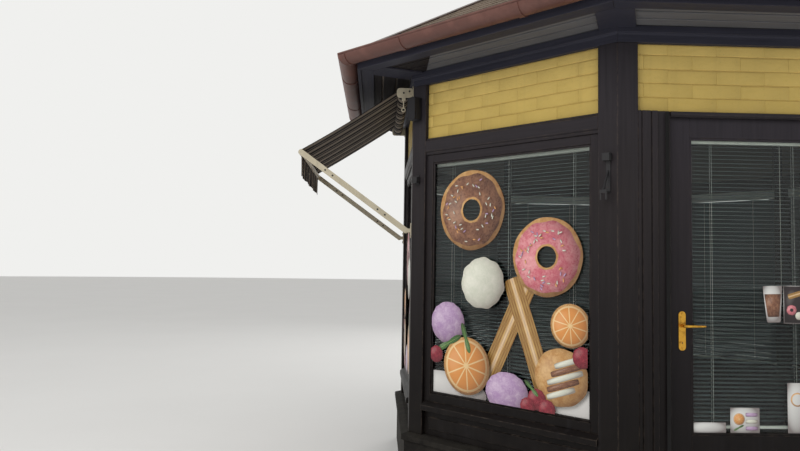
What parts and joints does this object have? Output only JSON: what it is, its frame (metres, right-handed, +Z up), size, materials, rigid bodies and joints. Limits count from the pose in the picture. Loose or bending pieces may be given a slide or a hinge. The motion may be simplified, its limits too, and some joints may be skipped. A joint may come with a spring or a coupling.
{
  "type": "street kiosk",
  "caption": "Eight-sided timber kiosk with a painted brick frieze, boarded eaves, gutter, hipped roof, blinds behind glass, a glazed door and a drop-arm awning.",
  "frame": {"origin": "centre of the plan, at ground level", "axes": "+Z up; the door faces -Y, the awning side faces -X"},
  "size_m": [4.7504, 4.4854, 4.1732],
  "materials": {
    "plinth_render": "dark painted render",
    "dark_timber": "satin dark brown paint",
    "floor_concrete": "trowelled concrete",
    "window_glass": "clear",
    "blind_slats": "satin lacquer",
    "blind_rail": "satin white",
    "yellow_brick": "painted brick",
    "soffit_boards": "weathered paint",
    "gutter_paint": "satin red-brown paint",
    "roof_shingles": "granulated shingle",
    "hip_metal": "satin dark brown paint",
    "brass": "worn polished",
    "awning_metal": "satin beige paint",
    "awning_cloth": "striped canvas",
    "black_iron": "blackened",
    "box_plastic": "satin"
  },
  "bodies": {
    "kiosk": {"plinth": "plinth_render", "plinth_ledge": "dark_timber", "floor": "floor_concrete", "door_threshold": "plinth_render", "corner_posts": "dark_timber", "lower_panels": "dark_timber", "window_sills": "dark_timber", "sash_stiles": "dark_timber", "sash_rails": "dark_timber", "window_glass": "window_glass", "window_blinds": "blind_slats", "blind_headrails": "blind_rail", "transom_rails": "dark_timber", "brick_frieze": "yellow_brick", "ring_beam": "dark_timber", "door_jambs": "dark_timber", "door_head": "dark_timber", "soffit": "soffit_boards", "eaves_boards": "dark_timber", "soffit_covers": "dark_timber", "fascia": "dark_timber", "gutter": "gutter_paint", "gutter_straps": "gutter_paint", "downpipe": "gutter_paint", "ceiling": "soffit_boards", "roof_panels": "roof_shingles", "hip_covers": "hip_metal", "roof_cap": "hip_metal", "frame_hinges": "brass", "awning_brackets": "awning_metal", "awning_pivots": "awning_metal", "awning_fabric": "awning_cloth", "post_hooks": "black_iron", "wall_box": "box_plastic"},
    "door": {"door_stiles": "dark_timber", "door_rails": "dark_timber", "door_panel": "dark_timber", "door_glass": "window_glass", "door_blind": "blind_slats", "door_lock_plates": "brass", "door_hinges": "brass"},
    "handle": {"door_handle": "brass"},
    "awning": {"awning_arms": "awning_metal"},
    "awning_front": {"awning_front_bar": "awning_metal", "awning_valance": "awning_cloth"},
    "roller": {"awning_roller": "awning_cloth"}
  },
  "joints": [
    {"name": "door_swing", "type": "hinge", "parent": "kiosk", "child": "door", "pos_m": [0.4425, -1.63923, 1.2], "axis": [0, 0, -1], "range_deg": [0, 90]},
    {"name": "handle_turn", "type": "hinge", "parent": "door", "child": "handle", "pos_m": [-0.365, -1.69023, 1.194], "axis": [0, 1, 0], "range_deg": [0, 40], "stiffness_Nm_per_rad": 1.5, "springref_deg": -20.05},
    {"name": "awning_swing", "type": "hinge", "parent": "kiosk", "child": "awning", "pos_m": [-1.77423, 0, 1.718], "axis": [0, 1, 0], "range_deg": [0, 48], "deforming": ["awning_fabric"]},
    {"name": "awning_front_turn", "type": "hinge", "parent": "awning", "child": "awning_front", "pos_m": [-2.48869, 0, 2.23518], "axis": [0, 1, 0], "range_deg": [-48, 0]},
    {"name": "roller_turn", "type": "hinge", "parent": "kiosk", "child": "roller", "pos_m": [-1.80323, 0, 2.65], "axis": [0, 1, 0], "range_deg": [0, 960]}
  ],
  "couplings": [
    {"joint": "awning_front_turn", "follows": "awning_swing", "ratio": -1},
    {"joint": "roller_turn", "follows": "awning_swing", "ratio": 20}
  ]
}
